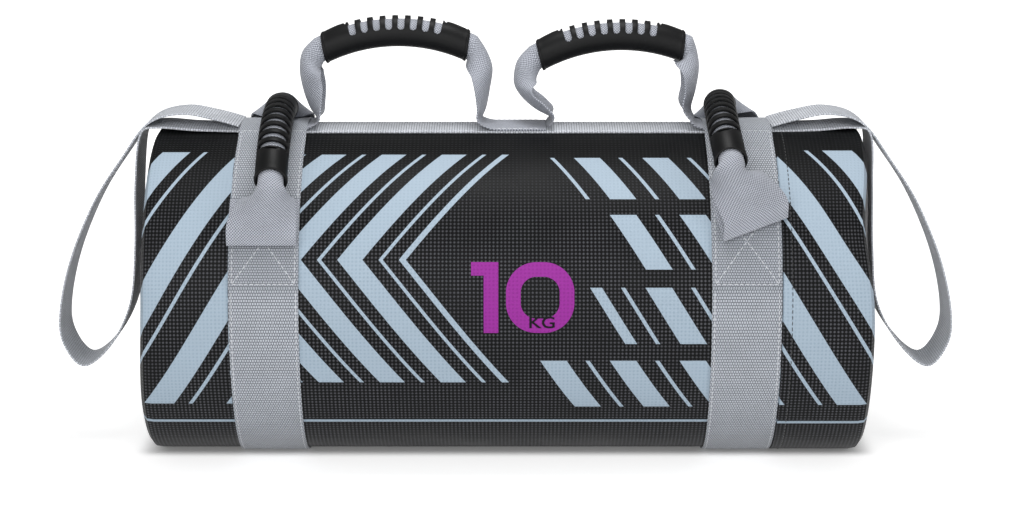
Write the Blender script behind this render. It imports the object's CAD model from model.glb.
"""The looks of a sandbag trainer: a printed PVC bag, woven straps and moulded grips.

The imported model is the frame, in metres. X runs along the bag, -Y is its front, Z is up.
"""

import math

import bpy
import numpy as np
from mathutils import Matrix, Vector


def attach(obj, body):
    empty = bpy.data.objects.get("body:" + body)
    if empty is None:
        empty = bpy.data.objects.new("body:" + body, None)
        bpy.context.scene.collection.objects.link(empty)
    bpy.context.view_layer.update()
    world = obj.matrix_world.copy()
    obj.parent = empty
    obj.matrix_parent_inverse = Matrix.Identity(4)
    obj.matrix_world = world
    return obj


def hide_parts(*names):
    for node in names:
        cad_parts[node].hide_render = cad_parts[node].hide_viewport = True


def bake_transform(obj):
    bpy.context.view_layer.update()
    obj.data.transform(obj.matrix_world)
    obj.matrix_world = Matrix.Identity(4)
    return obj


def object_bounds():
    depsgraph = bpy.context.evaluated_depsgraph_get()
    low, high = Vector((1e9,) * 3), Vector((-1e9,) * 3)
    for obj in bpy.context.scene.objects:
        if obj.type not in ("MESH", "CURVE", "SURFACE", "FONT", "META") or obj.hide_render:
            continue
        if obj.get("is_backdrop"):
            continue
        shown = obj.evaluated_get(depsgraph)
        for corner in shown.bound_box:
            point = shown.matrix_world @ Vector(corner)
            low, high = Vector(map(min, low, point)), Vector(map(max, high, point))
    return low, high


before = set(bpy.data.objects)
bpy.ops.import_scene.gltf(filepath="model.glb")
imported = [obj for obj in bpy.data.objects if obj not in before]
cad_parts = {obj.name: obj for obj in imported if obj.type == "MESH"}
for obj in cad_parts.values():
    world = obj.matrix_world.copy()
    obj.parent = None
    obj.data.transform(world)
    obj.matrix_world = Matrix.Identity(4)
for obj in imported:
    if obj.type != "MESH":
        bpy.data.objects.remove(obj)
bpy.ops.object.select_all(action="DESELECT")
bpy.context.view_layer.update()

# The shell is one sheet of PVC-coated cloth, printed flat, rolled round the filling and closed by a
# seam underneath. Its left end is hemmed and turned in, and its right end runs under the sleeve.
# Pieces of the bag are cut flat, X along the bag and Y along its girth from the top, and then wrapped.
BAG_LENGTH = 0.530
BAG_RADIUS = 0.125
SLUMP_DEPTH = 0.030
SLUMP_ANGLE = math.radians(47)
RIM_RADIUS = 0.006
SHELL_WALL = 0.0012
CLEARANCE = 0.0003
HALF_LENGTH = BAG_LENGTH / 2
CORNER_RADIUS = BAG_RADIUS - SLUMP_DEPTH
SEAT_HALF = SLUMP_DEPTH * math.sin(SLUMP_ANGLE)
WEB_WIDTH = 0.050
HALF_WEB = WEB_WIDTH / 2
WEB_THICKNESS = 0.0014
LAYER = WEB_THICKNESS + CLEARANCE
STRAP_X = 0.1725
CORNER_Z = LAYER + CORNER_RADIUS
AXIS_Z = CORNER_Z + SLUMP_DEPTH * math.cos(SLUMP_ANGLE)
SHELL_TOP = AXIS_Z + BAG_RADIUS
ROUND_REACH = BAG_RADIUS * (math.pi - SLUMP_ANGLE)
CORNER_REACH = ROUND_REACH + CORNER_RADIUS * SLUMP_ANGLE
HALF_GIRTH = CORNER_REACH + SEAT_HALF
WELD = 1e-6
SMOOTH_BELOW = math.radians(40)


def on_bag(x, reach, height):
    """Places over the shell: reach runs along the girth from the top and is positive to the front."""
    x, reach, height = np.broadcast_arrays(x, reach, height)
    far = abs(reach)
    angle = np.where(
        far < ROUND_REACH,
        far / BAG_RADIUS,
        np.minimum(math.pi - SLUMP_ANGLE + (far - ROUND_REACH) / CORNER_RADIUS, math.pi),
    )
    lower = far >= ROUND_REACH
    seat = np.maximum(far - CORNER_REACH, 0)
    radius = np.where(lower, CORNER_RADIUS, BAG_RADIUS) + height
    out = np.where(lower, SEAT_HALF, 0) + radius * np.sin(angle) - seat
    up = np.where(lower, CORNER_Z, AXIS_Z) + radius * np.cos(angle)
    return np.stack([x, -np.sign(reach) * out, up], axis=-1)


def spots(piece):
    """The piece's points, as rows of X, Y and Z."""
    found = np.empty(len(piece.data.vertices) * 3)
    piece.data.vertices.foreach_get("co", found)
    return found.reshape(-1, 3)


def put(piece, places):
    piece.data.vertices.foreach_set("co", np.ascontiguousarray(places).ravel())
    piece.data.update()


def wrap(piece, places):
    """Takes a flat piece to its place on the bag. Its Y runs to the front there, so its faces turn over."""
    put(piece, places)
    piece.data.flip_normals()


def smooth(share):
    """Turns a steady rise from 0 to 1 into one that starts and ends gently."""
    return share * share * (3 - 2 * share)


def cut_cloth(name, x_range, y_range, cell):
    """A flat rectangle of cloth, whose UV map is its place on the cutting table in metres."""
    width, length = x_range[1] - x_range[0], y_range[1] - y_range[0]
    cells = [max(1, round(side / step)) for side, step in zip((width, length), cell)]
    bpy.ops.mesh.primitive_grid_add(x_subdivisions=cells[0], y_subdivisions=cells[1], size=1)
    piece = bpy.context.active_object
    piece.name = name
    flat = spots(piece) + (0.5, 0.5, 0)
    put(piece, flat * (width, length, 1) + (x_range[0], y_range[0], 0))
    corners = np.empty(len(piece.data.loops), int)
    piece.data.loops.foreach_get("vertex_index", corners)
    piece.data.uv_layers.active.data.foreach_set("uv", spots(piece)[corners, :2].ravel())
    return piece


def finish_with(piece, kind, **settings):
    """Adds a modifier and applies it."""
    modifier = piece.modifiers.new(kind, kind)
    for name, value in settings.items():
        setattr(modifier, name, value)
    bpy.context.view_layer.objects.active = piece
    bpy.ops.object.modifier_apply(modifier=modifier.name)


def dress(piece, body, slot, material, *nodes):
    """Gives a piece its material, and says what it rides on and what it stands for.

    Pieces that are blended between two bodies are given no body here.
    """
    piece.data.materials.clear()
    piece.data.materials.append(material)
    bpy.ops.object.select_all(action="DESELECT")
    piece.select_set(True)
    bpy.context.view_layer.objects.active = piece
    bpy.ops.object.shade_smooth_by_angle(angle=SMOOTH_BELOW)
    piece.select_set(False)
    if body:
        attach(piece, body)
    if nodes:
        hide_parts(*nodes)


def hexed(code):
    """A colour written as sRGB hex, turned to Blender's linear values."""
    parts = [int(code[i : i + 2], 16) / 255 for i in (1, 3, 5)]
    return (*[c / 12.92 if c <= 0.04045 else ((c + 0.055) / 1.055) ** 2.4 for c in parts], 1)


def feed(tree, node, inputs):
    """Sets a node's inputs, or links them to sockets. A colour may be given as sRGB hex."""
    for socket, value in inputs.items():
        if isinstance(value, bpy.types.NodeSocket):
            tree.links.new(value, node.inputs[socket])
        else:
            node.inputs[socket].default_value = hexed(value) if isinstance(value, str) else value


def add(tree, kind, inputs=None, out=0, **settings):
    """Adds a node with its settings and inputs, and gives one of its outputs."""
    node = tree.nodes.new("ShaderNode" + kind)
    for name, value in settings.items():
        setattr(node, name, value)
    feed(tree, node, inputs or {})
    return node.outputs[out]


def new_material(name):
    """A material with its node tree and its Principled shader."""
    material = bpy.data.materials.new(name)
    material.use_nodes = True
    return material, material.node_tree, material.node_tree.nodes["Principled BSDF"]


# PVC tarpaulin, calendered with a grid of small raised domes, 2.8 mm apart: nearly black, with grey
# glints on the domes. The print is flat blue-grey ink in stock motifs, and the weight is printed in
# magenta. The scale of a pattern, here and below, is its number of steps in a metre.
INK = "#A0B0BE"
INK_SHADE = "#8FA0AF"
PVC_BLACK = "#090A0B"
DOME_GLINT = "#5A5B60"
FIGURE_INK = "#932F93"
FIGURE_SHADE = "#842A84"
DOME_PITCH = 0.0028
DOME_RELIEF = 0.0003
LINE_HALF = 0.0015
CHEVRON_MIDDLE = 0.150
PRINT_EDGE = 0.198
ROW_PITCH = 0.054
BAR_PITCH = 0.050
LEAN = 0.62
STROKE_HALF = 0.00525
DOMES = (
    # Rows and columns of domes, as the sum of two waves
    ("w_x", "MULTIPLY", "x", math.tau / DOME_PITCH),
    ("w_y", "MULTIPLY", "y", math.tau / DOME_PITCH),
    ("w_a", "COSINE", "w_x"),
    ("w_b", "COSINE", "w_y"),
    ("w_sum", "ADD", "w_a", "w_b"),
    ("w_half", "MULTIPLY_ADD", "w_sum", 0.48, 0.02),
    ("domes", "SMOOTH_MAX", "w_half", 0.0, 0.2),
)
PLACES = (
    # Chevrons that point left, between the left girth strap and the figure
    ("girth", "ABSOLUTE", "y"),
    ("c_mid", "SUBTRACT", "girth", CHEVRON_MIDDLE),
    ("c_off", "ABSOLUTE", "c_mid"),
    ("c_lean", "MULTIPLY", "c_off", 0.80),
    ("c_place", "SUBTRACT", "x", "c_lean"),
    # Rows of slanted bars, each row half a step along
    ("r_up", "SUBTRACT", "girth", 0.062),
    ("r_row", "DIVIDE", "r_up", ROW_PITCH),
    ("r_number", "FLOOR", "r_row"),
    ("r_in", "FLOORED_MODULO", "r_up", ROW_PITCH),
    ("r_x", "MULTIPLY_ADD", "r_number", BAR_PITCH / 2, "x"),
    ("r_slant", "MULTIPLY", "r_in", LEAN),
    ("r_place", "SUBTRACT", "r_x", "r_slant"),
    # Wide bands at both ends, which lean the other way
    ("e_far", "ABSOLUTE", "x"),
    ("e_lean", "MULTIPLY", "girth", LEAN),
    ("e_place", "SUBTRACT", "e_lean", "e_far"),
)
# In each of the three motifs a wide bar and a fine line come back at every pitch.
STRIPES = []
for motif, pitch, wide, line in (
    ("c", 0.044, 0.018, 0.0310),
    ("r", BAR_PITCH, 0.019, 0.0340),
    ("e", 0.060, 0.022, 0.0340),
):
    STRIPES += [
        (motif + "_shift", "ADD", motif + "_place", 1.0),
        (motif + "_step", "FLOORED_MODULO", motif + "_shift", pitch),
        (motif + "_wide", "LESS_THAN", motif + "_step", wide),
        (motif + "_fine", "COMPARE", motif + "_step", line, LINE_HALF),
        (motif + "_bar", "ADD", motif + "_wide", motif + "_fine"),
    ]
LIMITS = (
    # The edges of the chevrons
    ("c_low", "LESS_THAN", "c_off", 0.092),
    ("c_left", "GREATER_THAN", "x", -PRINT_EDGE),
    ("c_right", "LESS_THAN", "c_place", -0.071),
    ("chevrons", "MULTIPLY", "c_bar", "c_low", "c_left", "c_right"),
    # The edges of the rows: at the front the two middle ones leave room for the figure
    ("r_tall", "LESS_THAN", "r_in", 0.041),
    ("r_middle", "COMPARE", "r_number", 1.5, 0.6),
    ("r_front", "GREATER_THAN", "y", 0.0),
    ("r_room", "MULTIPLY", "r_middle", "r_front"),
    ("r_from", "MULTIPLY_ADD", "r_room", 0.0365, 0.024),
    ("r_left", "SUBTRACT", "x", "r_slant"),
    ("r_start", "GREATER_THAN", "r_left", "r_from"),
    ("r_stop", "LESS_THAN", "x", PRINT_EDGE),
    ("r_top", "GREATER_THAN", "r_up", 0),
    ("r_bottom", "LESS_THAN", "r_up", 0.204),
    ("bars", "MULTIPLY", "r_bar", "r_tall", "r_top", "r_bottom", "r_start", "r_stop"),
    # The edges of the bands
    ("e_end", "GREATER_THAN", "e_far", PRINT_EDGE),
    ("e_low", "LESS_THAN", "girth", 0.262),
    ("e_high", "GREATER_THAN", "girth", 0.055),
    ("bands", "MULTIPLY", "e_bar", "e_end", "e_low", "e_high"),
    # A pinstripe along the foot of the print
    ("p_foot", "COMPARE", "girth", 0.281, 0.0014),
    ("print", "ADD", "chevrons", "bars", "bands", "p_foot"),
)
FIGURE = (
    # The weight, 10, in plain figures on the front: a stem with its flag, and a rounded ring
    ("n_y", "SUBTRACT", "y", 0.17715),
    ("n_far", "ABSOLUTE", "n_y"),
    ("stem_x", "COMPARE", "x", -0.0102, STROKE_HALF),
    ("stem_y", "COMPARE", "n_y", 0.0, 0.02555),
    ("stem", "MULTIPLY", "stem_x", "stem_y"),
    ("flag_x", "COMPARE", "x", -0.0147, 0.0097),
    ("flag_y", "COMPARE", "n_y", -0.0207, 0.00485),
    ("flag", "MULTIPLY", "flag_x", "flag_y"),
    ("ring_x", "SUBTRACT", "x", 0.0249),
    ("ring_dx", "ABSOLUTE", "ring_x"),
    ("ring_qx", "SUBTRACT", "ring_dx", 0.00265),
    ("ring_qy", "SUBTRACT", "n_far", 0.00375),
    ("ring_px", "MAXIMUM", "ring_qx", 0.0),
    ("ring_py", "MAXIMUM", "ring_qy", 0.0),
    ("ring_xx", "MULTIPLY", "ring_px", "ring_px"),
    ("ring_sum", "MULTIPLY_ADD", "ring_py", "ring_py", "ring_xx"),
    ("ring_far", "SQRT", "ring_sum"),
    ("ring", "COMPARE", "ring_far", 0.0165, STROKE_HALF),
    ("figure", "MAXIMUM", "stem", "flag", "ring"),
)


def make_pvc(name, flat_from, sides, rows):
    """PVC with its relief and gloss. Gives what its rows work out too, and the clouds on it.

    A row is the name of a result, the operation and its values. Sums, products and maxima take any number.
    """
    material, tree, shader = new_material(name)
    flat = add(tree, *flat_from)
    known = dict(zip("xy", (add(tree, "SeparateXYZ", {0: flat}, side) for side in sides)))
    for result, operation, *values in rows:
        values = [known.get(value, value) for value in values]
        while len(values) > 2 and operation in ("ADD", "MULTIPLY", "MAXIMUM"):
            values[:2] = [add(tree, "Math", dict(enumerate(values[:2])), operation=operation)]
        known[result] = add(tree, "Math", dict(enumerate(values)), operation=operation)
    cloudy = add(tree, "TexNoise", {0: flat, "Scale": 24.0, "Detail": 3.0})
    gloss = add(tree, "MapRange", {0: cloudy, 1: 0.3, 2: 0.7, 3: 0.40, 4: 0.52})
    bump = add(tree, "Bump", {"Height": known["domes"], "Distance": DOME_RELIEF, "Strength": 0.6})
    feed(tree, shader, {"Roughness": gloss, "Normal": bump, "Specular IOR Level": 0.09})
    return material, tree, shader, known, cloudy


pvc, tree, shader, known, cloudy = make_pvc(
    "printed_pvc_tarpaulin", ("UVMap",), (0, 1), (*DOMES, *PLACES, *STRIPES, *LIMITS, *FIGURE)
)
# Handling has polished the domes down the front and the back, less so near the top, and dulled them in
# clouds of 4 cm. Each ink lies a little thinner between the domes.
wear = add(tree, "MapRange", {0: cloudy, 1: 0.3, 2: 0.7, 3: 0.55, 4: 1.0})
handled = add(tree, "MapRange", {0: known["girth"], 1: 0.06, 2: 0.15, 3: 0.10, 4: 1.0})
polish = add(tree, "Math", {0: wear, 1: handled}, operation="MULTIPLY")
glint = add(tree, "Math", {0: known["domes"], 1: polish}, operation="MULTIPLY", use_clamp=True)
black, ink, magenta = (
    add(tree, "Mix", {0: glint, 6: pale, 7: deep}, 2, data_type="RGBA")
    for pale, deep in ((PVC_BLACK, DOME_GLINT), (INK, INK_SHADE), (FIGURE_INK, FIGURE_SHADE))
)
printed = add(tree, "Mix", {0: known["print"], 6: black, 7: ink}, 2, data_type="RGBA")
colour = add(tree, "Mix", {0: known["figure"], 6: printed, 7: magenta}, 2, data_type="RGBA")
feed(tree, shader, {"Base Color": colour})

SHELL_CELL = (0.005, 0.005)
STRAP_OUTER = STRAP_X + HALF_WEB
SLEEVE_START = STRAP_OUTER + 0.001
SLEEVE_OVERLAP = 0.018
RIM_TURN = RIM_RADIUS * math.pi / 2
TURNED_IN = 0.012
CLOTH_FRAMES = 20
MOST_SWOLLEN = 0.0025
HELD_AT_END = 0.008
HELD_BESIDE_SPINE = 0.002
HELD_OVER_SEAT = 0.012
# The left rim stands in by 4 mm over the top, and less low on the sides, up to an angle from the top. The
# right one has two dents, given by depth, middle and width, all angles in radians.
LEFT_SETTLED = 0.0040
LEFT_SETTLED_TO = 2.2
LEFT_SETTLED_FADE = 0.8
RIGHT_DENTS = ((0.0065, 1.0, 0.33), (0.0030, -1.2, 0.4))


def drawn_in(side, reach):
    """How far the soft rim stands in from its full length: the filling has settled away from it."""
    angle = reach / BAG_RADIUS
    if side < 0:
        return LEFT_SETTLED * smooth(np.clip((LEFT_SETTLED_TO - abs(angle)) / LEFT_SETTLED_FADE, 0, 1))
    return sum(depth * np.exp(-(((angle - middle) / width) ** 2)) for depth, middle, width in RIGHT_DENTS)


def turn_in(places, side, end, top):
    """Wraps flat cloth on the bag and turns it in round the rim at one end of it."""
    edge = end - RIM_RADIUS
    past = np.maximum(side * places[:, 0] - edge, 0)
    turn = np.minimum(past / RIM_RADIUS, math.pi / 2)
    down = np.maximum(past - RIM_TURN, 0)
    along = np.where(past > 0, edge + RIM_RADIUS * np.sin(turn), side * places[:, 0])
    lean = np.where(past > 0, RIM_RADIUS * (1 - np.cos(turn)) + down, 0)
    near = np.clip((along - STRAP_OUTER) / (HALF_LENGTH - STRAP_OUTER), 0, 1) ** 2
    along = along - near * drawn_in(side, places[:, 1])
    return on_bag(side * along, places[:, 1], top + places[:, 2] - lean)


def fill_out(piece, held, most):
    """Cloth simulation with pressure, held where straps and seams hold it, and no further than most."""
    before = spots(piece)
    group = piece.vertex_groups.new(name="held")
    group.add(np.flatnonzero(held).tolist(), 1.0, "REPLACE")
    cloth = piece.modifiers.new("Cloth", "CLOTH")
    cloth.settings.vertex_group_mass = "held"
    cloth.settings.use_pressure = True
    cloth.settings.uniform_pressure_force = 4
    cloth.settings.effector_weights.gravity = 0
    cloth.settings.quality = 5
    cloth.settings.tension_stiffness = 40
    cloth.settings.bending_stiffness = 2
    cloth.point_cache.frame_end = CLOTH_FRAMES
    scene = bpy.context.scene
    for number in range(1, CLOTH_FRAMES + 1):
        scene.frame_set(number)
    bpy.context.view_layer.objects.active = piece
    bpy.ops.object.modifier_apply(modifier=cloth.name)
    scene.frame_set(1)
    moved = spots(piece) - before
    size = np.linalg.norm(moved, axis=1, keepdims=True)
    put(piece, before + moved * np.minimum(1, most / np.maximum(size, 1e-9)))


shell = cut_cloth(
    "printed_shell",
    (-HALF_LENGTH - TURNED_IN, SLEEVE_START + SLEEVE_OVERLAP),
    (-HALF_GIRTH, HALF_GIRTH),
    SHELL_CELL,
)
wrap(shell, turn_in(spots(shell), -1, HALF_LENGTH, 0))
bpy.ops.object.mode_set(mode="EDIT")
bpy.ops.mesh.select_all(action="SELECT")
bpy.ops.mesh.remove_doubles(threshold=WELD)
bpy.ops.object.mode_set(mode="OBJECT")
x, y, z = spots(shell).T
under_strap = abs(abs(x) - STRAP_X) - HALF_WEB < 0
near_end = (x < -HALF_LENGTH + HELD_AT_END) | (x > STRAP_X)
under_spine = (abs(y) < HALF_WEB + HELD_BESIDE_SPINE) & (z > AXIS_Z)
seated = z < LAYER + HELD_OVER_SEAT
fill_out(shell, under_strap | near_end | under_spine | seated, MOST_SWOLLEN)
finish_with(shell, "SOLIDIFY", thickness=SHELL_WALL, offset=-1)
dress(shell, "bag", "pvc", pvc, "main_shell")

# The unit is printed small and dark, low in the ring of the figure. It is two plain letters, turned to a
# mesh and laid on the shell as a thin film of ink.
UNIT_HEIGHT = 0.0083
UNIT_MIDDLE = (0.0262, 0.1948)
UNIT_WIDENED = 1.2
UNIT_BOLDER = 0.012
FILM_TOP = 0.00015
FILM_THICKNESS = 0.0001
film, tree, shader = new_material("black_printing_ink")
# Printing ink dries to a satin film, and it has worn a little paler in spots of 2.5 mm.
spot = add(tree, "TexCoord", out="Object")
worn = add(tree, "TexNoise", {0: spot, "Scale": 400.0, "Detail": 2.0})
shade = add(tree, "Mix", {0: worn, 6: "#07050A", 7: "#120C14"}, 2, data_type="RGBA")
feed(tree, shader, {"Base Color": shade, "Roughness": 0.5, "Specular IOR Level": 0.12})
bpy.ops.object.text_add()
unit_ink = bpy.context.active_object
unit_ink.data.body = "KG"
unit_ink.data.align_x = "CENTER"
unit_ink.data.offset = UNIT_BOLDER
bpy.ops.object.convert(target="MESH")
unit_ink.name = "unit_ink"
place = spots(unit_ink)
place = (place - (0, place[:, 1].max() / 2, 0)) * UNIT_HEIGHT / place[:, 1].max() * (UNIT_WIDENED, -1, 1)
wrap(unit_ink, on_bag(UNIT_MIDDLE[0] + place[:, 0], UNIT_MIDDLE[1] + place[:, 1], FILM_TOP))
finish_with(unit_ink, "SOLIDIFY", thickness=FILM_THICKNESS, offset=-1)
dress(unit_ink, "bag", "pvc", film)

# The right end is a second section of the same printed cloth. It starts in a folded hem beside the
# girth strap, sewn through with one row of stitches, and is turned in at the bag's end.
SLEEVE_TOP = CLEARANCE + SHELL_WALL
sleeve = cut_cloth(
    "end_sleeve", (SLEEVE_START, HALF_LENGTH + TURNED_IN), (-HALF_GIRTH, HALF_GIRTH), SHELL_CELL
)
wrap(sleeve, turn_in(spots(sleeve), 1, HALF_LENGTH, SLEEVE_TOP))
finish_with(sleeve, "SOLIDIFY", thickness=SHELL_WALL, offset=-1)
dress(sleeve, "bag", "pvc", pvc, "right_end_sleeve")

# The end panels are discs of plain black PVC, sewn into the turned rims and pushed out a little by the
# filling behind them.
END_BULGE = 0.005
HEM_GAP = CLEARANCE + RIM_RADIUS
EDGE_SHARE = 0.97
EDGE_LIFT = 0.004
plain_pvc, tree, shader, known, _ = make_pvc(
    "plain_pvc_tarpaulin", ("TexCoord", None, "Object"), (1, 2), DOMES
)
shade = add(tree, "Mix", {0: known["domes"], 6: PVC_BLACK, 7: "#3A3B3E"}, 2, data_type="RGBA")
feed(tree, shader, {"Base Color": shade})


def make_end_disc(name, side, edge, depth):
    """A disc over the whole end of the bag at this depth, inside the rim and domed by the filling."""
    bpy.ops.mesh.primitive_grid_add(x_subdivisions=24, y_subdivisions=160, size=1)
    disc = bpy.context.active_object
    disc.name = name
    share = spots(disc)[:, 0] + 0.5
    reach = spots(disc)[:, 1] * 2 * HALF_GIRTH
    centre = np.array([0, 0, AXIS_Z])
    places = centre + (on_bag(0, reach, edge) - centre) * np.sqrt(share)[:, None]
    places[:, 0] = side * (HALF_LENGTH - depth - share * drawn_in(side, reach) + END_BULGE * (1 - share**2))
    put(disc, places)
    return disc, share


def close_up(gap=WELD):
    """Joins the active piece's doubled points and turns its faces outward."""
    bpy.ops.object.mode_set(mode="EDIT")
    bpy.ops.mesh.select_all(action="SELECT")
    bpy.ops.mesh.remove_doubles(threshold=gap)
    bpy.ops.mesh.normals_make_consistent(inside=False)
    bpy.ops.object.mode_set(mode="OBJECT")


for side, name, end_top in ((-1, "left_end_panel", 0.0), (1, "right_end_panel", SLEEVE_TOP)):
    panel, share = make_end_disc(name + "_cloth", side, end_top - HEM_GAP, SHELL_WALL)
    put(panel, spots(panel) - np.outer(share > EDGE_SHARE, (side * EDGE_LIFT, 0, 0)))
    close_up()
    finish_with(panel, "SOLIDIFY", thickness=SHELL_WALL, offset=0)
    dress(panel, "bag", "pvc", plain_pvc, name)

# Inside, each end is filled by a disc of open-celled polyurethane foam, pale and pitted where it was
# cut. A roll of the same foam lies round two inner bags of sand, sewn from woven polypropylene.
PAD_DEPTH = 0.010
PAD_GAP = 0.004
foam, tree, shader = new_material("open_celled_polyurethane_foam")
# The cut face is dull and full of small dark pits, and age has yellowed it in patches of 3 cm. The cells
# are drawn 1.4 mm wide, coarser than the real ones, so that they show.
spot = add(tree, "TexCoord", out="Object")
cells = add(tree, "TexVoronoi", {"Vector": spot, "Scale": 700.0}, "Distance")
cloudy = add(tree, "TexNoise", {0: spot, "Scale": 30.0, "Detail": 3.0})
aged = add(tree, "Mix", {0: cloudy, 6: "#C9C8BE", 7: "#B5AE97"}, 2, data_type="RGBA")
pitted = add(tree, "Mix", {0: cells, 6: "#8E8B80", 7: aged}, 2, data_type="RGBA")
bump = add(tree, "Bump", {"Height": cells, "Distance": 0.0006, "Strength": 0.7})
feed(tree, shader, {"Base Color": pitted, "Normal": bump, "Roughness": 0.95})

TAPE_WIDTH = 0.002
TAPE_GAP = 0.0003
liner, tree, shader = new_material("woven_polypropylene_liner")
# Flat tapes of 2 mm with dark gaps between them, and dust from the sand on them in patches of 25 mm.
spot = add(tree, "TexCoord", out="Object")
bricks = {"Mortar Size": TAPE_GAP, "Brick Width": 2 * TAPE_WIDTH, "Row Height": TAPE_WIDTH}
tapes = add(tree, "TexBrick", {0: spot, "Scale": 1.0, **bricks}, "Fac")
cloudy = add(tree, "TexNoise", {0: spot, "Scale": 40.0, "Detail": 3.0})
dusty = add(tree, "Mix", {0: cloudy, 6: "#B9A98A", 7: "#8F7F62"}, 2, data_type="RGBA")
woven = add(tree, "Mix", {0: tapes, 6: dusty, 7: "#6B5D46"}, 2, data_type="RGBA")
bump = add(tree, "Bump", {"Height": tapes, "Distance": 0.0002, "Strength": 0.5})
feed(tree, shader, {"Base Color": woven, "Normal": bump, "Roughness": 0.70})

for node, material in (("foam_roll", foam), ("left_sand_liner", liner), ("right_sand_liner", liner)):
    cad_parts[node].data.materials.clear()
    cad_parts[node].data.materials.append(material)
for side, name, end_top in ((-1, "left_end_pad", 0.0), (1, "right_end_pad", SLEEVE_TOP)):
    edge = end_top - RIM_RADIUS - SHELL_WALL - PAD_GAP
    pad, _ = make_end_disc(name + "_foam", side, edge, 2 * SHELL_WALL + CLEARANCE)
    close_up()
    count = len(pad.data.vertices)
    bpy.ops.object.mode_set(mode="EDIT")
    bpy.ops.mesh.select_all(action="SELECT")
    bpy.ops.mesh.extrude_region_move()
    bpy.ops.object.mode_set(mode="OBJECT")
    places = spots(pad)
    places[count:, 0] = side * (HALF_LENGTH - PAD_DEPTH)
    put(pad, places)
    close_up()
    dress(pad, "bag", "foam", foam, name)

# Silver-grey polyester webbing, 50 mm wide. A girth strap is one turn round the bag, over the ends of
# the spine strap and of the handles, and sewn down along both edges.
WEB_SOILED = "#A3A8AF"
YARN_WIDTH = 0.0018
GAP_SHARE = 0.19
WEB_ROUNDED = 0.0004
STRAP_SEAM_GAP = 0.0004


def make_webbing(name, weave_kind, pitch, light, dark):
    """Silver-grey webbing. Ribbed cloth has bars across its width, plain cloth a lattice of humps."""
    material, tree, shader = new_material(name)
    flat = add(tree, "UVMap")
    if weave_kind == "ribbed":
        bars = {"Scale": 1.0, "Brick Width": YARN_WIDTH, "Row Height": pitch}
        gaps = {"Mortar Size": pitch * GAP_SHARE, "Mortar Smooth": 1.0}
        holes = add(tree, "TexBrick", {0: flat, **bars, **gaps}, "Fac", offset=0.5)
    else:
        waves = []
        for side in (0, 1):
            place = add(tree, "SeparateXYZ", {0: flat}, side)
            turn = add(tree, "Math", {0: place, 1: math.tau / pitch}, operation="MULTIPLY")
            waves.append(add(tree, "Math", {0: turn}, operation="COSINE"))
        humps = add(tree, "Math", {0: waves[0], 1: waves[1]}, operation="MULTIPLY")
        holes = add(tree, "MapRange", {0: humps, 1: 0.5, 2: -0.8})
    # Hands have greyed the cloth in clouds of 2 cm.
    cloudy = add(tree, "TexNoise", {0: flat, "Scale": 45.0, "Detail": 4.0})
    soiled = add(tree, "MapRange", {0: cloudy, 1: 0.3, 2: 0.8, 4: 0.55})
    tone = add(tree, "Mix", {0: soiled, 6: light, 7: WEB_SOILED}, 2, data_type="RGBA")
    colour = add(tree, "Mix", {0: holes, 6: tone, 7: dark}, 2, data_type="RGBA")
    relief = add(tree, "Math", {0: 1.0, 1: holes}, operation="SUBTRACT")
    bump = add(tree, "Bump", {"Height": relief, "Distance": 0.0005, "Strength": 0.8})
    feed(tree, shader, {"Base Color": colour, "Normal": bump, "Roughness": 0.55, "Sheen Weight": 0.20})
    return material


# Ribs are 2.2 mm apart on the girth straps, and 1.9 mm on the loops, the spine and the patches, which
# are greyer from wear. The humps of the plain handles are 2.1 mm apart. All of it is drawn a little
# coarser than the real yarn, so that it shows.
broad_ribbed = make_webbing("broad_ribbed_polyester_webbing", "ribbed", 0.0022, "#BABFC8", "#4B4F57")
ribbed = make_webbing("ribbed_polyester_webbing", "ribbed", 0.0019, "#E2E6EE", "#71757D")
worn_ribbed = make_webbing("worn_ribbed_polyester_webbing", "ribbed", 0.0019, "#A9AEB7", "#454951")
plain = make_webbing("plain_polyester_webbing", "plain", 0.0021, "#BCC0CB", "#62656F")


def make_strip(name, x_range, y_range, cell=(0.0042, 0.004)):
    """A length of webbing, cut flat, with its thickness and its rounded edges."""
    piece = cut_cloth(name, x_range, y_range, cell)
    finish_with(piece, "SOLIDIFY", thickness=WEB_THICKNESS, offset=0)
    finish_with(piece, "BEVEL", width=WEB_ROUNDED, segments=2, limit_method="ANGLE")
    return piece


def layer(number):
    """Height over the shell of the middle of a layer of webbing."""
    return number * LAYER - WEB_THICKNESS / 2


STACK_REACH = HALF_WEB + 0.0006
STRAP_RAMP = 0.018


def strap_height(reach):
    """A girth strap's middle: it climbs over two layers at the top."""
    along = np.clip((abs(reach) - STACK_REACH) / STRAP_RAMP, 0, 1)
    return layer(1) + 2 * LAYER * (1 - smooth(along))


half_cut = HALF_GIRTH - STRAP_SEAM_GAP / 2
for name, middle in (("left_girth_strap", -STRAP_X), ("right_girth_strap", STRAP_X)):
    strap = make_strip(name + "_webbing", (middle - HALF_WEB, middle + HALF_WEB), (-half_cut, half_cut))
    cut = spots(strap)
    wrap(strap, on_bag(cut[:, 0], cut[:, 1], strap_height(cut[:, 1]) + cut[:, 2]))
    dress(strap, "bag", "webbing", broad_ribbed, name)

# The spine strap runs along the top of the bag between the girth straps. The webbing of the handles
# lies on it and is sewn down with it. The end loops start at the girth straps' outer edges, and every
# end is caught under a girth strap.
SPINE_END = STRAP_X - CLEARANCE


def turn_weave(piece):
    """Turns the piece's UV map a quarter, for webbing that runs along the bag."""
    layer_data = piece.data.uv_layers.active.data
    found = np.empty(len(layer_data) * 2)
    layer_data.foreach_get("uv", found)
    layer_data.foreach_set("uv", np.ascontiguousarray(found.reshape(-1, 2)[:, ::-1]).ravel())


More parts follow.
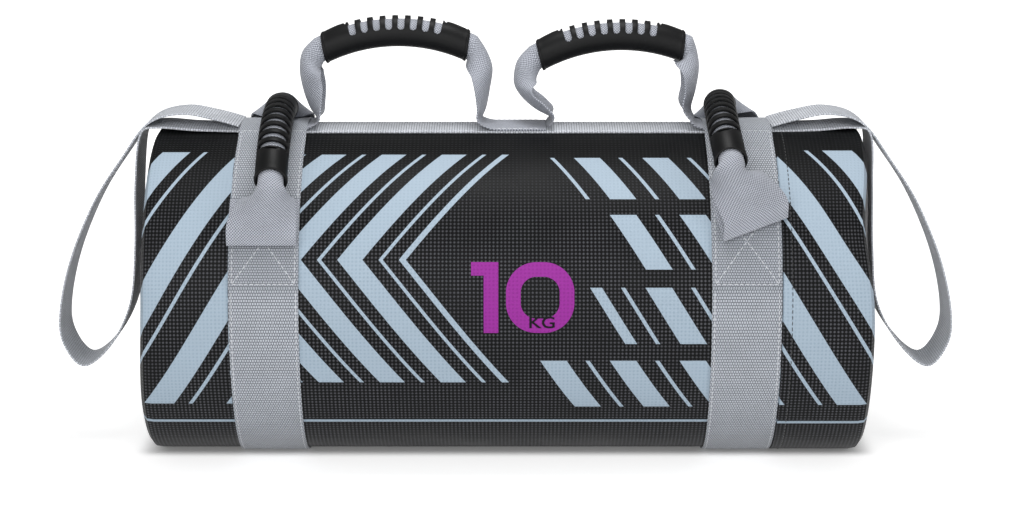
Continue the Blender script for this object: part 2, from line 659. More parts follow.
def lay_flat(node, material, x_range, y_range, number, name=None):
    """A strip of webbing on the bag, in a layer of this number."""
    strip = make_strip(name or node + "_webbing", x_range, y_range)
    cut = spots(strip)
    wrap(strip, on_bag(cut[:, 0], cut[:, 1], layer(number) + cut[:, 2]))
    dress(strip, "bag", "webbing", material, node)
    return strip


spine_size = ((-SPINE_END, SPINE_END), (-HALF_WEB, HALF_WEB))
turn_weave(lay_flat("spine_strap", ribbed, *spine_size, 1, "spine_webbing"))
for side, sign in (("left", -1), ("right", 1)):
    ends = sorted((sign * (STRAP_X + CLEARANCE), sign * STRAP_OUTER))
    for number, place in ((1, "lower"), (2, "upper")):
        turn_weave(lay_flat(f"{side}_loop_{place}_tail", ribbed, ends, (-HALF_WEB, HALF_WEB), number))

# The ends of the cross handles are patches on the girth straps, sewn down with a box and a cross. They
# are of the same ribbed webbing as the loops, but greyer.
PATCH_TOP = math.radians(48) * BAG_RADIUS
PATCH_BOTTOM = math.radians(78) * BAG_RADIUS
for side, middle in (("left", -STRAP_X), ("right", STRAP_X)):
    ends = (middle - HALF_WEB, middle + HALF_WEB)
    lay_flat(side + "_front_patch", worn_ribbed, ends, (PATCH_TOP, PATCH_BOTTOM), 2)
    lay_flat(side + "_rear_patch", worn_ribbed, ends, (-PATCH_BOTTOM, -PATCH_TOP), 2)

# All of it is sewn with bonded polyester thread in lock stitches of 3.2 mm. One stitch is modelled and
# copied along the seams: on straps and patches in pale grey, and along the sleeve's hem in black.
STITCH_LENGTH = 0.0032
STITCH_PITCH = 0.0042
THREAD = 0.0007
PATCH_INSET = 0.0025
STRAP_INSET = 0.0020
SEAM_Y = 0.0228
HEM_INSET = 0.0065
SEAT_CLEAR = 0.02
STACK_SEAM = 0.0305
STRAP_SEAMS = (
    # How far the seams along a girth strap's edges reach, above its patch and below it
    (0.030, PATCH_TOP - 0.002),
    (PATCH_BOTTOM + 0.003, HALF_GIRTH - SEAT_CLEAR),
)


def make_thread(name, light, dark):
    """Twisted thread: its plies show as slanted stripes along each stitch, 0.7 mm apart."""
    material, tree, shader = new_material(name)
    spot = add(tree, "TexCoord", out="Object")
    twist = {0: spot, "Scale": 900.0, "Distortion": 1.0}
    plies = add(tree, "TexWave", twist, "Fac", bands_direction="DIAGONAL")
    colour = add(tree, "Mix", {0: plies, 6: light, 7: dark}, 2, data_type="RGBA")
    bump = add(tree, "Bump", {"Height": plies, "Distance": 0.0001, "Strength": 0.5})
    feed(tree, shader, {"Base Color": colour, "Normal": bump, "Roughness": 0.45, "Sheen Weight": 0.15})
    return material


grey_thread = make_thread("grey_bonded_thread", "#E2E4E8", "#B4B7BD")
black_thread = make_thread("black_bonded_thread", "#2A2B2D", "#18191A")

lying = (0, math.pi / 2, 0)
bpy.ops.mesh.primitive_uv_sphere_add(segments=8, ring_count=5, radius=THREAD / 2, rotation=lying)
stitch = bpy.context.active_object
stitch.name = "one_stitch"
bpy.ops.transform.resize(value=(STITCH_LENGTH / THREAD, 1, 1))
bpy.ops.object.transform_apply()


def sew(name, thread, lines, height):
    """Stitches along straight lines on the cutting table, laid on the bag at the height there."""
    one, ring = spots(stitch), [list(face.vertices) for face in stitch.data.polygons]
    places = []
    for start, end in np.array(lines, float):
        run = float(np.linalg.norm(end - start))
        count = max(1, round(run / STITCH_PITCH))
        ahead = (end - start) / run
        beside = np.array([-ahead[1], ahead[0]])
        for i in range(count):
            middle = start + ahead * run * (i + 0.5) / count
            flat_place = middle + np.outer(one[:, 0], ahead) + np.outer(one[:, 1], beside)
            places.append(np.column_stack([flat_place, one[:, 2] + height(middle[1])]))
    faces = [[i + len(one) * number for i in face] for number in range(len(places)) for face in ring]
    seam = stitch.copy()
    seam.data = bpy.data.meshes.new(name)
    seam.name = name
    bpy.context.collection.objects.link(seam)
    seam.data.from_pydata(on_bag(*np.concatenate(places).T).tolist(), [], faces)
    seam.data.flip_normals()
    dress(seam, "bag", "webbing", thread)


def on_top(number):
    """The height of a seam on a layer of this number, the same along its whole way."""
    return lambda reach: layer(number) + WEB_THICKNESS / 2


for side, middle in (("left", -STRAP_X), ("right", STRAP_X)):
    near, far = middle - HALF_WEB + PATCH_INSET, middle + HALF_WEB - PATCH_INSET
    for place, turn in (("front", 1), ("rear", -1)):
        high, low = turn * (PATCH_TOP + PATCH_INSET), turn * (PATCH_BOTTOM - PATCH_INSET)
        corners = [(near, high), (far, high), (far, low), (near, low)]
        box = list(zip(corners, corners[1:] + corners[:1]))
        cross = list(zip(corners[:2], corners[2:]))
        sew(f"{side}_{place}_patch_stitches", grey_thread, box + cross, on_top(2))
    edges = (middle - HALF_WEB + STRAP_INSET, middle + HALF_WEB - STRAP_INSET)
    seams = [
        ((x, turn * high), (x, turn * low))
        for high, low in STRAP_SEAMS
        for x in edges
        for turn in (1, -1)
    ]
    seams += [((edges[0], y), (edges[1], y)) for y in (STACK_SEAM, -STACK_SEAM)]
    sew(side + "_girth_stitches", grey_thread, seams, lambda reach: strap_height(reach) + WEB_THICKNESS / 2)
for name, number, runs in (
    ("spine_stitches", 1, ((-0.137, -0.023), (0.037, 0.137))),
    ("centre_tail_stitches", 2, ((-0.011, 0.025),)),
):
    seams = [((low, y), (high, y)) for low, high in runs for y in (-SEAM_Y, SEAM_Y)]
    sew(name, grey_thread, seams, on_top(number))
hem_x = SLEEVE_START + HEM_INSET
hem = [((hem_x, HALF_GIRTH - SEAT_CLEAR), (hem_x, SEAT_CLEAR - HALF_GIRTH))]
sew("sleeve_hem_stitches", black_thread, hem, lambda reach: SLEEVE_TOP)
bpy.data.objects.remove(stitch)

# The grips are black thermoplastic rubber, moulded as short bent tubes, open at both mouths, with eight
# slots across the crown that let the hand feel the webbing. One is modelled straight and bent four times.
GRIP_ARC = 0.132
GRIP_HALF = 0.056
GRIP_RADIUS = 0.0117
GRIP_BORE = 0.0100
LIP_LENGTH = 0.0020
LIP_HEIGHT = 0.0004
MOUTH_PLAIN = 0.0155
MOUTH_LEAN = math.radians(14)
MOUTH_FLATTENED = 0.09
SLOTS = 8
SLOT_PITCH = 0.0088
SLOT_WIDTH = 0.0050
SLOT_DEPTH = 0.0098
SLOT_ACROSS = 0.034
CUT_ABOVE = 0.004
NOTCH_SIZE = (0.0016, 0.0200, 0.0040)
NOTCH_X = SLOTS / 2 * SLOT_PITCH + 0.0002
NOTCH_LIFT = 0.0006
GRIP_ROUNDED = 0.0005
SKIN_FROM = GRIP_BORE + 0.0006

rubber, tree, shader = new_material("moulded_thermoplastic_rubber")
# The mould leaves a matt, faintly grained skin, which is smoother in patches where hands have worn it.
# The grain is drawn 1.1 mm wide, coarser than the real one, so that it shows.
grain = add(tree, "TexCoord", out="Object")
fine = add(tree, "TexNoise", {0: grain, "Scale": 900.0, "Detail": 3.0})
worn = add(tree, "TexNoise", {0: grain, "Scale": 40.0, "Detail": 2.0})
tone = add(tree, "Mix", {0: worn, 6: "#060707", 7: "#0D0D0F"}, 2, data_type="RGBA")
matt = add(tree, "MapRange", {0: worn, 3: 0.42, 4: 0.56})
bump = add(tree, "Bump", {"Height": fine, "Distance": 0.0002, "Strength": 0.35})
feed(tree, shader, {"Base Color": tone, "Normal": bump, "Roughness": matt, "Specular IOR Level": 0.18})

# The tube's outline, from the edge of one mouth along the outside to the other, and back through the
# bore. Each mouth has a lip, with its edges broken by half a millimetre.
inner = GRIP_HALF - MOUTH_PLAIN
steps = [inner * (i / 12 - 1) for i in range(25)]
outline = [
    (-GRIP_HALF, GRIP_BORE + 0.0005),
    (-GRIP_HALF, GRIP_RADIUS - 0.0004),
    (-GRIP_HALF + 0.0006, GRIP_RADIUS + LIP_HEIGHT),
    (-GRIP_HALF + LIP_LENGTH, GRIP_RADIUS + LIP_HEIGHT),
    (-GRIP_HALF + LIP_LENGTH + 0.0005, GRIP_RADIUS),
    (-GRIP_HALF + 0.006, GRIP_RADIUS),
    (-GRIP_HALF + 0.010, GRIP_RADIUS),
]
outline += [(x, GRIP_RADIUS) for x in steps] + [(-x, r) for x, r in outline[::-1]]
bore = (GRIP_HALF - 0.0005, GRIP_HALF - 0.006, *steps[::-1], -GRIP_HALF + 0.006, -GRIP_HALF + 0.0005)
outline += [(x, GRIP_BORE) for x in bore] + [outline[0]]
bpy.ops.mesh.primitive_circle_add(vertices=56, radius=outline[0][1], rotation=(0, math.pi / 2, 0))
straight_grip = bpy.context.active_object
straight_grip.name = "straight_grip"
bpy.ops.object.transform_apply(location=False)
bpy.ops.object.mode_set(mode="EDIT")
bpy.ops.mesh.select_all(action="SELECT")
bpy.ops.transform.translate(value=(outline[0][0], 0, 0))
for (x, radius), (next_x, next_radius) in zip(outline, outline[1:]):
    bpy.ops.mesh.extrude_edges_move(TRANSFORM_OT_translate={"value": (next_x - x, 0, 0)})
    share = next_radius / radius
    bpy.ops.transform.resize(value=(1, share, share), center_override=(next_x, 0, 0))
bpy.ops.object.mode_set(mode="OBJECT")
close_up(1e-5)

bpy.ops.mesh.primitive_cube_add(size=1)
slots = bpy.context.active_object
slot_top = GRIP_RADIUS + CUT_ABOVE
slot_low = GRIP_RADIUS - SLOT_DEPTH
slot_middle = (slot_top + slot_low) / 2
bpy.ops.transform.resize(value=(SLOT_WIDTH, SLOT_ACROSS, slot_top - slot_low))
bpy.ops.transform.translate(value=(-(SLOTS - 1) / 2 * SLOT_PITCH, 0, slot_middle))
bpy.ops.object.transform_apply()
bpy.ops.object.mode_set(mode="EDIT")
bpy.ops.mesh.select_all(action="DESELECT")
bpy.ops.object.mode_set(mode="OBJECT")
for edge in slots.data.edges:
    ends = [slots.data.vertices[i].co for i in edge.vertices]
    edge.select = all(end.z < slot_middle for end in ends) and abs(ends[0].y - ends[1].y) > SLOT_ACROSS / 2
bpy.ops.object.mode_set(mode="EDIT")
bpy.ops.mesh.bevel(offset=SLOT_WIDTH / 2 - 0.0002, segments=5, affect="EDGES")
bpy.ops.object.mode_set(mode="OBJECT")
finish_with(
    slots,
    "ARRAY",
    count=SLOTS,
    use_relative_offset=False,
    use_constant_offset=True,
    constant_offset_displace=(SLOT_PITCH, 0, 0),
)
cutters = [slots]
# A shallow notch parts each plain sleeve from the ribs.
for sign in (-1, 1):
    place = (sign * NOTCH_X, 0, GRIP_RADIUS + NOTCH_LIFT)
    bpy.ops.mesh.primitive_cube_add(size=1, location=place, scale=NOTCH_SIZE)
    cutters.append(bpy.context.active_object)
for cutter in cutters:
    finish_with(straight_grip, "BOOLEAN", object=cutter, operation="DIFFERENCE", solver="EXACT")
    bpy.data.objects.remove(cutter)
finish_with(straight_grip, "BEVEL", width=GRIP_ROUNDED, segments=2, limit_method="ANGLE")


def unit(vector):
    return vector / np.linalg.norm(vector)


def grip_frame(crown, up, along):
    """Centre of the grip's arc, the crown's direction, the direction of one end, and that across."""
    up, along = unit(np.array(up, float)), unit(np.array(along, float))
    return np.array(crown, float) - GRIP_ARC * up, up, along, np.cross(up, along)


def on_grip(grip, along, rise, across):
    """Places by the arc of a grip: length along it, height over its centre line and reach across."""
    centre, up, forward, side = grip
    turn = np.asarray(along) / GRIP_ARC
    radial = np.multiply.outer(np.cos(turn), up) + np.multiply.outer(np.sin(turn), forward)
    return centre + (GRIP_ARC + np.asarray(rise))[..., None] * radial + np.multiply.outer(across, side)


def out_of_bag(angle):
    """The direction out of the bag at an angle to the front from its top."""
    return np.stack([0 * angle, -np.sin(angle), np.cos(angle)], axis=-1)


def fall_of_bag(angle):
    """The direction down the bag's front at such an angle."""
    return np.stack([0 * angle, -np.cos(angle), -np.sin(angle)], axis=-1)


grips = {}
# A top grip's place along the bag, the height of its crown over the bag, and its tilt
for side, x, rise, tilt in (
    ("left", -0.0823, 0.0717, math.radians(0.9)),
    ("right", 0.0784, 0.0685, math.radians(3.6)),
):
    up, along = (-math.sin(tilt), 0, math.cos(tilt)), (math.cos(tilt), 0, math.sin(tilt))
    grips[side + "_top"] = grip_frame((x, 0, SHELL_TOP + rise), up, along)
# A cross grip's place along the bag and round it, its height, and the way its crown faces: the near end
# is lifted by the slack webbing, and the right one leans to the left.
CROSS_GRIPS = {
    "left": (-0.1663, math.radians(28.3), 0.0261, math.radians(21.2), 0.0),
    "right": (0.1570, math.radians(25.2), 0.0303, math.radians(14.2), math.radians(15)),
}
for side, (x, angle, rise, pitch, roll) in CROSS_GRIPS.items():
    crown = on_bag(x, angle * BAG_RADIUS, rise)
    up = math.cos(roll) * out_of_bag(pitch) - np.array([math.sin(roll), 0, 0])
    grips[side + "_cross"] = grip_frame(crown, up, fall_of_bag(pitch))
for name, grip in grips.items():
    piece = straight_grip.copy()
    piece.data = straight_grip.data.copy()
    piece.name = name + "_moulded_grip"
    bpy.context.collection.objects.link(piece)
    x, across, rise = spots(piece).T
    towards_mouth = np.clip((abs(x) - GRIP_HALF + MOUTH_PLAIN) / MOUTH_PLAIN, 0, 1)
    x = x - np.sign(x) * towards_mouth * math.tan(MOUTH_LEAN) * rise
    skin = (rise > 0) & (np.hypot(across, rise) > SKIN_FROM)
    put(piece, on_grip(grip, x, rise * np.where(skin, 1 - MOUTH_FLATTENED * towards_mouth, 1), across))
    dress(piece, name + "_handle", "grip", rubber, name + "_grip")
bpy.data.objects.remove(straight_grip)

# Each top handle is one length of webbing. It comes out from under a girth strap, stands up at the foot,
# rolls up into the grip, and comes down to the centre seam. The right one starts where the left one ends.
ROLL_RADIUS = 0.0085
ROLL_TURN = WEB_WIDTH / ROLL_RADIUS
ROLL_OVERRUN = 0.0030
HELD_ROWS = 80
LEAN_REACH = 0.014
HELD_REACH = 0.001
LOOSE_REACH = 0.003
HANDLE_CELL = (0.0025, 0.002)


def held_in(side_and_kind):
    """The way of the rolled webbing's crown through a grip, a little past both mouths."""
    along = np.linspace(-GRIP_HALF - ROLL_OVERRUN, GRIP_HALF + ROLL_OVERRUN, HELD_ROWS)
    return on_grip(grips[side_and_kind], along, np.full(HELD_ROWS, ROLL_RADIUS), np.zeros(HELD_ROWS))


def through(points, spacing):
    """Dense points on a smooth curve through all of these, with other numbers carried along."""
    table = np.array([points[0], *points, points[-1]], float)
    rows = [table[1]]
    for before, start, end, after in zip(table, table[1:], table[2:], table[3:]):
        count = max(2, round(float(np.linalg.norm((end - start)[:3])) / spacing))
        for t in np.arange(1, count + 1) / count:
            leave, arrive = (end - before) / 2, (after - start) / 2
            rows.append(
                (2 * t**3 - 3 * t**2 + 1) * start
                + (t**3 - 2 * t**2 + t) * leave
                + (3 * t**2 - 2 * t**3) * end
                + (t**3 - t**2) * arrive
            )
    return np.array(rows)


def between(places, lengths, rows):
    """What the rows, given at these lengths, come to at other places along the way."""
    return np.array([np.interp(places, lengths, column) for column in rows.T]).T


def make_route(centres, sides, curls, lean=None):
    """Rows that a strap follows: length so far, crown, across, outwards and curl.

    Rows outside the held span lean towards it, so that a rolled strap leaves a mouth without a kink.
    """
    length = np.concatenate([[0], np.cumsum(np.linalg.norm(np.diff(centres, axis=0), axis=1))])
    reach_out = reach_in = LOOSE_REACH
    if lean:
        reach_out = np.where(length < length[lean[0]], LEAN_REACH, HELD_REACH)
        reach_in = np.where(length > length[lean[1]], LEAN_REACH, HELD_REACH)
    ahead = between(length + reach_out, length, centres)
    behind = between(length - reach_in, length, centres)
    outs = np.cross(ahead - behind, sides)
    outs /= np.linalg.norm(outs, axis=1, keepdims=True)
    return np.column_stack([length, centres, sides, outs, curls])


def lay_along(piece, route):
    """Bends a flat strip, X across it and Y along it, to a route."""
    across, along, height = spots(piece).T
    now = between(np.clip(along, 0, route[-1, 0]), route[:, 0], route[:, 1:])
    crown, side, out, curl = now[:, :3], now[:, 3:6], now[:, 6:9], now[:, 9]
    side /= np.linalg.norm(side, axis=1, keepdims=True)
    out /= np.linalg.norm(out, axis=1, keepdims=True)
    bend = np.maximum(curl, 1e-4) / WEB_WIDTH
    turn = across * bend
    sideways = np.sin(turn) * (1 / bend + height)
    drop = (1 - np.cos(turn)) / bend - np.cos(turn) * height
    wrap(piece, crown + sideways[:, None] * side - drop[:, None] * out)


def hang(name, route, cell, material, nodes):
    """A strip of webbing on its route. It goes with the bag at start and with the other body at end."""
    strip = make_strip(name + "_webbing", (-HALF_WEB, HALF_WEB), (0, route[-1, 0]), cell)
    lay_along(strip, route)
    dress(strip, None, "webbing", material, *nodes)
    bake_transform(strip)


FOOT_X = {"left": (-0.1414, -0.0178), "right": (0.0343, 0.1414)}
FOOT_BEND = 0.0035
LYING = WEB_WIDTH / (BAG_RADIUS + 2 * LAYER)
TAIL_Z = SHELL_TOP + layer(2)
SEAM_GAP = 0.004
LEAST_FLAT = 0.012
FOOT_STARTS = 0.010
BENDING = (0.001, 0.016)
# Points of both strands from the foot up to the mouth, as X, height over the tail and curl
STRANDS = {
    "left": (
        [(-0.1465, 0.012, 1.7), (-0.1515, 0.026, 3.0), (-0.1538, 0.041, 3.4), (-0.1515, 0.0535, 4.9)],
        [(-0.0150, 0.012, 1.0), (-0.0123, 0.026, 1.9), (-0.0104, 0.041, 3.2), (-0.0145, 0.0535, 4.9)],
    ),
    "right": (
        [
            (0.0235, 0.0105, 1.3),
            (0.0136, 0.0187, 1.4),
            (0.0075, 0.0275, 2.2),
            (0.0068, 0.036, 3.6),
            (0.0095, 0.047, 4.6),
        ],
        [(0.1388, 0.012, 1.2), (0.1422, 0.026, 1.5), (0.1444, 0.042, 2.5), (0.1425, 0.055, 4.9)],
    ),
}
# Both strands start where their tail does: under a girth strap, or at the centre seam.
seam_x = FOOT_X["right"][0] - SEAM_GAP
TAIL_STARTS = {"left": (-SPINE_END, seam_x), "right": (seam_x, SPINE_END)}
for side, feet in FOOT_X.items():
    held = held_in(side + "_top")
    strands = []
    for start, foot, sign, points, mouth in zip(
        TAIL_STARTS[side], feet, (1, -1), STRANDS[side], (held[0], held[-1])
    ):
        table = [(start, 0, TAIL_Z, LYING)]
        if abs(start - foot) > LEAST_FLAT:
            table.append(((start + foot) / 2, 0, TAIL_Z, LYING))
            table.append((foot - sign * FOOT_STARTS, 0, TAIL_Z, LYING))
        table.append((foot - sign * FOOT_BEND * 0.35, 0, TAIL_Z + FOOT_BEND * 0.45, LYING))
        table.append((foot, 0, TAIL_Z + FOOT_BEND * 1.4, 0.6))
        table += [(x, 0, TAIL_Z + rise, curl) for x, rise, curl in points]
        table.append((*mouth, ROLL_TURN))
        strands.append(through(table, spacing=0.0016))
    up, down = strands[0][:-1], strands[1][::-1][1:]
    centres = np.vstack([up[:, :3], held, down[:, :3]])
    curls = np.concatenate([up[:, 3], np.full(HELD_ROWS, ROLL_TURN), down[:, 3]])
    sides = np.tile((0.0, 1.0, 0.0), (len(centres), 1))
    route = make_route(centres, sides, curls, (len(up), len(up) + HELD_ROWS - 1))
    nodes = [side + "_top_webbing", side + "_outer_tail"] + ["centre_tail"] * (side == "left")
    start, end = ((0, 0, TAIL_Z + height) for height in BENDING)
    hang(side + "_top_handle", route, HANDLE_CELL, plain, nodes)

# Each cross handle is webbing laid over its girth strap from a rear patch to a front one. Its front end
# is slack: it spreads out of the grip, folds back under itself and is sewn down as the front patch.
FOLD_RISE = 0.0100
HINGE_GAP = 0.0006
REAR_FLAT = math.radians(-24)
GRIP_MIDDLE_ROW = 38
MOUTH_DROP = 0.0015
SPREAD_LIFT = 0.0015
REAR_DROP = 0.002
REAR_BEND = (0, -0.03, 0.03)
# The fold's place along the bag and round it, and its twist
FLARES = {
    "left": (-0.1735, math.radians(63.5), 0.0),
    "right": (0.1785, math.radians(58.5), math.radians(21)),
}
# The way from a mouth to the fold: shares of the shift along the bag, the angle, the curl, the height
# and the twist. Behind, only shares of the angle and of the curl.
FRONT_OPENING = (
    (0.0, 0.20, 0.70, 0.97, 0.2),
    (0.5, 0.45, 0.38, 0.62, 0.6),
    (1.0, 0.74, 0.10, 0.18, 1.0),
)
REAR_OPENING = ((0.28, 0.66), (0.58, 0.24), (1.0, 0.0))
# The fold and the layer under it stay with the bag, and the whole rolled part goes with the grip: the
# bend starts and ends at these distances from the bag's axis.
BEND_OUT = out_of_bag(math.radians(33))
BEND_RADII = (0.1257, 0.1408)
for side, patch_x in (("left", -STRAP_X), ("right", STRAP_X)):
    grip_x, roll = CROSS_GRIPS[side][0], CROSS_GRIPS[side][4]
    flare_x, fold, twist = FLARES[side]
    held = held_in(side + "_cross")
    angle = np.arctan2(-held[:, 1], held[:, 2] - AXIS_Z)
    rise = np.hypot(held[:, 1], held[:, 2] - AXIS_Z) - BAG_RADIUS
    back = layer(3) + HINGE_GAP
    top = FOLD_RISE + layer(1)
    rest = (PATCH_TOP + 2 * HINGE_GAP) / BAG_RADIUS
    turn_over = (top - back) / 2 / BAG_RADIUS
    span = fold - angle[-1]
    front = [(held[-1, 0], angle[-1], rise[-1], ROLL_TURN, 0)]
    for x_share, share, curl, height, turn in FRONT_OPENING:
        x = grip_x + x_share * (flare_x - grip_x)
        lift = top + height * (rise[-1] - MOUTH_DROP - top)
        front.append((x, angle[-1] + share * span, lift, curl * ROLL_TURN, turn * twist))
    front += [
        (flare_x, fold, top, 0, twist),
        (flare_x, fold + turn_over, (top + back) / 2, 0, twist),
        (flare_x, fold, back + LAYER, 0, twist),
        ((flare_x + patch_x) / 2, (fold + rest) / 2, back, 0, 0.4 * twist),
        (patch_x, rest, back, 0, 0),
    ]
    open_back = REAR_FLAT - angle[0]
    rear = [(held[0, 0], angle[0], rise[0], ROLL_TURN, 0)]
    for share, curl_share in REAR_OPENING:
        place = angle[0] + share * open_back
        curl = curl_share * ROLL_TURN
        depth = WEB_WIDTH / max(curl, 1e-6) * (1 - math.cos(min(curl / 2, math.pi)))
        lie = float(strap_height(place * BAG_RADIUS)) + LAYER + depth + SPREAD_LIFT * min(1, curl)
        rear.append((grip_x + share * (patch_x - grip_x), place, min(lie, rise[0] - REAR_DROP), curl, 0))
    rear_end = (2 * HINGE_GAP - PATCH_TOP) / BAG_RADIUS
    rear += [(patch_x, (REAR_FLAT + rear_end) / 2, layer(2), 0, 0), (patch_x, rear_end, layer(2), 0, 0)]
    rear_start = on_bag(patch_x, rear_end * BAG_RADIUS, layer(2))
    for part, stations, rolled, turned, (start, end) in (
        ("front", front, held, 1, [np.array([0, 0, AXIS_Z]) + BEND_OUT * radius for radius in BEND_RADII]),
        ("rear", rear, held[::-1], -1, (rear_start, rear_start + REAR_BEND)),
    ):
        rows = through([(x, a * BAG_RADIUS, h, curl, t) for x, a, h, curl, t in stations], spacing=0.0014)
        rolled = rolled[GRIP_MIDDLE_ROW:-1]
        centres = np.vstack([rolled, on_bag(rows[:, 0], rows[:, 1], rows[:, 2])])
        curls = np.concatenate([np.full(len(rolled), ROLL_TURN), np.maximum(rows[:, 3], 0)])
        turns = np.concatenate([np.zeros(len(rolled)), rows[:, 4]])[:, None]
        angles = np.arctan2(-centres[:, 1], centres[:, 2] - AXIS_Z)
        leans = (roll * curls / ROLL_TURN)[:, None]
        sides = np.cos(turns) * np.array([1.0, 0, 0]) - np.sin(turns) * fall_of_bag(angles)
        sides = turned * (np.cos(leans) * sides + np.sin(leans) * out_of_bag(angles))
        route = make_route(centres, sides, curls, (0, len(rolled)))
        name, body, nodes = f"{side}_cross_{part}", side + "_cross_handle", [side + "_cross_webbing"]
        hang(name, route, HANDLE_CELL, plain, nodes)

# The end loops are webbing too: one length goes out over the rim, hangs down the end, turns out at the
# loop's foot and comes back up over the rim in a soft hump.
LOOP_REACH = 0.338
LOOP_DROP = 0.180
LOOP_HUMP = 0.0080
LOOP_CELL = (0.003, 0.0025)
LOOP_FOOT = 8
LOOP_LIFT = 0.0015
LOWER_CAUGHT = 0.0010
UPPER_CAUGHT = 0.0012
LOOP_LYING = WEB_WIDTH / (BAG_RADIUS + LOOP_LIFT)
for name, body, sign, hang_share in (
    ("left_end_loop", "left_loop", -1, 0.10),
    ("right_end_loop", "right_loop", 1, 0.06),
):
    low = SHELL_TOP + LOOP_LIFT + layer(1)
    high = low + LAYER
    start = STRAP_OUTER + HINGE_GAP
    end = HALF_LENGTH + END_BULGE
    drop = SHELL_TOP - LOOP_DROP
    span = LOOP_REACH - WEB_THICKNESS / 2 - end
    stations = [
        (start, low - LOWER_CAUGHT),
        ((start + HALF_LENGTH) / 2, low),
        (HALF_LENGTH - RIM_RADIUS, low),
        (end + 0.03 * span, low - RIM_RADIUS),
        (end + hang_share * span, low - 0.25 * LOOP_DROP),
        (end + (hang_share + 0.02) * span, low - 0.50 * LOOP_DROP),
        (end + (hang_share + 0.09) * span, low - 0.74 * LOOP_DROP),
        (end + 0.42 * span, low - 0.92 * LOOP_DROP),
        (end + 0.74 * span, drop),
        (end + 0.96 * span, drop + 0.10 * LOOP_DROP),
        (end + 0.98 * span, drop + 0.24 * LOOP_DROP),
        (end + 0.84 * span, drop + 0.46 * LOOP_DROP),
        (end + 0.56 * span, drop + 0.70 * LOOP_DROP),
        (end + 0.24 * span, high - 0.14 * LOOP_DROP),
        (end - 0.06 * span, high + 0.10 * LOOP_HUMP),
        (end - 0.42 * span, high + LOOP_HUMP),
        (start + 0.30 * (HALF_LENGTH - start), high + 0.55 * LOOP_HUMP),
        (start + 0.05 * (HALF_LENGTH - start), high),
        (start, high - UPPER_CAUGHT),
    ]
    table = []
    for i, (x, z) in enumerate(stations):
        on_bag_share = smooth(min(1, max(0, (end - x) / (end - start) * 2))) if z > low - RIM_RADIUS else 0
        table.append((sign * x, 0, z, LOOP_LYING * on_bag_share * (1 if i < LOOP_FOOT else -1)))
    rows = through(table, spacing=0.0025)
    # The outward side of the webbing is on top where it lies on the bag, and turns over at the foot.
    sides = np.tile((0.0, float(sign), 0.0), (len(rows), 1))
    route = make_route(rows[:, :3], sides, rows[:, 3])
    hang(name, route, LOOP_CELL, ribbed, [name])

# A white floor and backdrop, with a large soft lamp low in front, a small one close above and another
# at the right.
bpy.ops.mesh.primitive_plane_add(size=12)
floor = bpy.context.active_object
floor.name = "floor"
floor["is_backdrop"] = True
paper, tree, shader = new_material("white_studio_paper")
tree.nodes.remove(shader)
rays = [add(tree, "LightPath", out=kind) for kind in ("Is Camera Ray", "Is Glossy Ray")]
direct = add(tree, "Math", dict(enumerate(rays)), operation="MAXIMUM")
base = add(tree, "BsdfDiffuse", {"Color": "#F2F2F2"})
# The camera sees the paper brighter than it is lit, and white from a metre away. Close round the bag's
# seat, a box of 524 x 80 mm, it sees only the light that falls there.
SEAT_BOX = (0.262, 0.040, 0.0)
spot = add(tree, "TexCoord", out="Object")
far = add(tree, "VectorMath", {0: spot}, "Value", operation="LENGTH")
wide = add(tree, "MapRange", {0: far, 1: 0.35, 2: 1.4, 3: 0.0, 4: 0.5})
quarter = add(tree, "VectorMath", {0: spot}, operation="ABSOLUTE")
past = add(tree, "VectorMath", {0: quarter, 1: SEAT_BOX}, operation="SUBTRACT")
outside = add(tree, "VectorMath", {0: past, 1: (0.0, 0.0, 0.0)}, operation="MAXIMUM")
gap = add(tree, "VectorMath", {0: outside}, "Value", operation="LENGTH")
near = add(tree, "MapRange", {0: gap, 1: 0.0, 2: 0.020, 3: 0.12, 4: 0.62}, interpolation_type="SMOOTHSTEP")
glow = add(tree, "Math", {0: wide, 1: near}, operation="ADD")
lift = add(tree, "Emission", {"Color": "#FFFFFF", "Strength": glow})
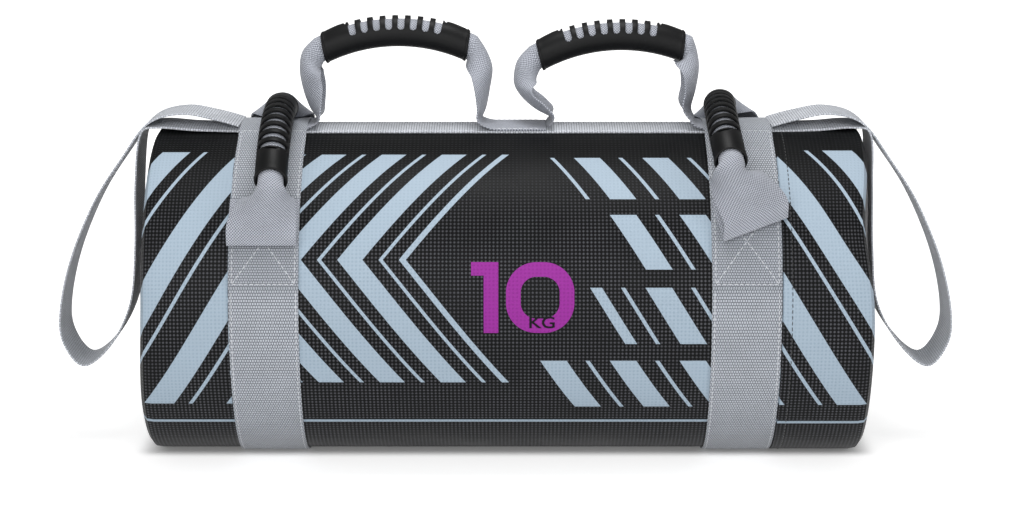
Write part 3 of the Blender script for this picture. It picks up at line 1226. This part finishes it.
both = add(tree, "AddShader", {0: base, 1: lift})
look = add(tree, "MixShader", {0: direct, 1: base, 2: both})
feed(tree, tree.nodes["Material Output"], {"Surface": look})
floor.data.materials.append(paper)

world = bpy.data.worlds.new("white_studio")
bpy.context.scene.world = world
world.use_nodes = True
tree = world.node_tree
rays = [add(tree, "LightPath", out=kind) for kind in ("Is Camera Ray", "Is Transmission Ray")]
direct = add(tree, "Math", dict(enumerate(rays)), operation="MAXIMUM")
level = add(tree, "MapRange", {0: direct, 3: 0.36, 4: 1.0})
feed(tree, tree.nodes["Background"], {"Strength": level, "Color": "#FFFFFF"})

BAG_MIDDLE = np.array([0, 0, 0.12])
for name, place, size, power in (
    ("front", (-0.4, -2.1, 0.9), 1.5, 25),
    ("top", (0.0, -0.1, 1.25), 0.5, 7.5),
    ("right", (1.5, -1.5, 0.8), 1.0, 7.5),
):
    lamp = bpy.data.lights.new(name, "AREA")
    lamp.energy = power
    lamp.size = size
    holder = bpy.data.objects.new(name, lamp)
    bpy.context.collection.objects.link(holder)
    holder.location = place
    aim_x, aim_y, aim_z = BAG_MIDDLE - np.array(place)
    tip = math.atan2(math.hypot(aim_x, aim_y), -aim_z)
    holder.rotation_euler = (tip, 0, math.atan2(aim_y, aim_x) - math.pi / 2)

# The camera stands 1.9 m off, a little above the bag, and looks slightly over its axis, so that the axis
# lies 27 pixels below the middle of the picture.
DISTANCE = 1.9
ELEVATION = math.radians(12)
LENS = 87.5
FOCAL_PIXELS = 2488
AXIS_BELOW = 27
CAMERA_X = 0.0048
camera = bpy.data.cameras.new("camera")
camera.lens = LENS
holder = bpy.data.objects.new("camera", camera)
bpy.context.collection.objects.link(holder)
holder.location = (CAMERA_X, -DISTANCE * math.cos(ELEVATION), AXIS_Z + DISTANCE * math.sin(ELEVATION))
holder.rotation_euler = (math.pi / 2 - ELEVATION + math.atan(AXIS_BELOW / FOCAL_PIXELS), 0, 0)
bpy.context.scene.camera = holder
bpy.context.scene.view_settings.view_transform = "Standard"

low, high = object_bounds()
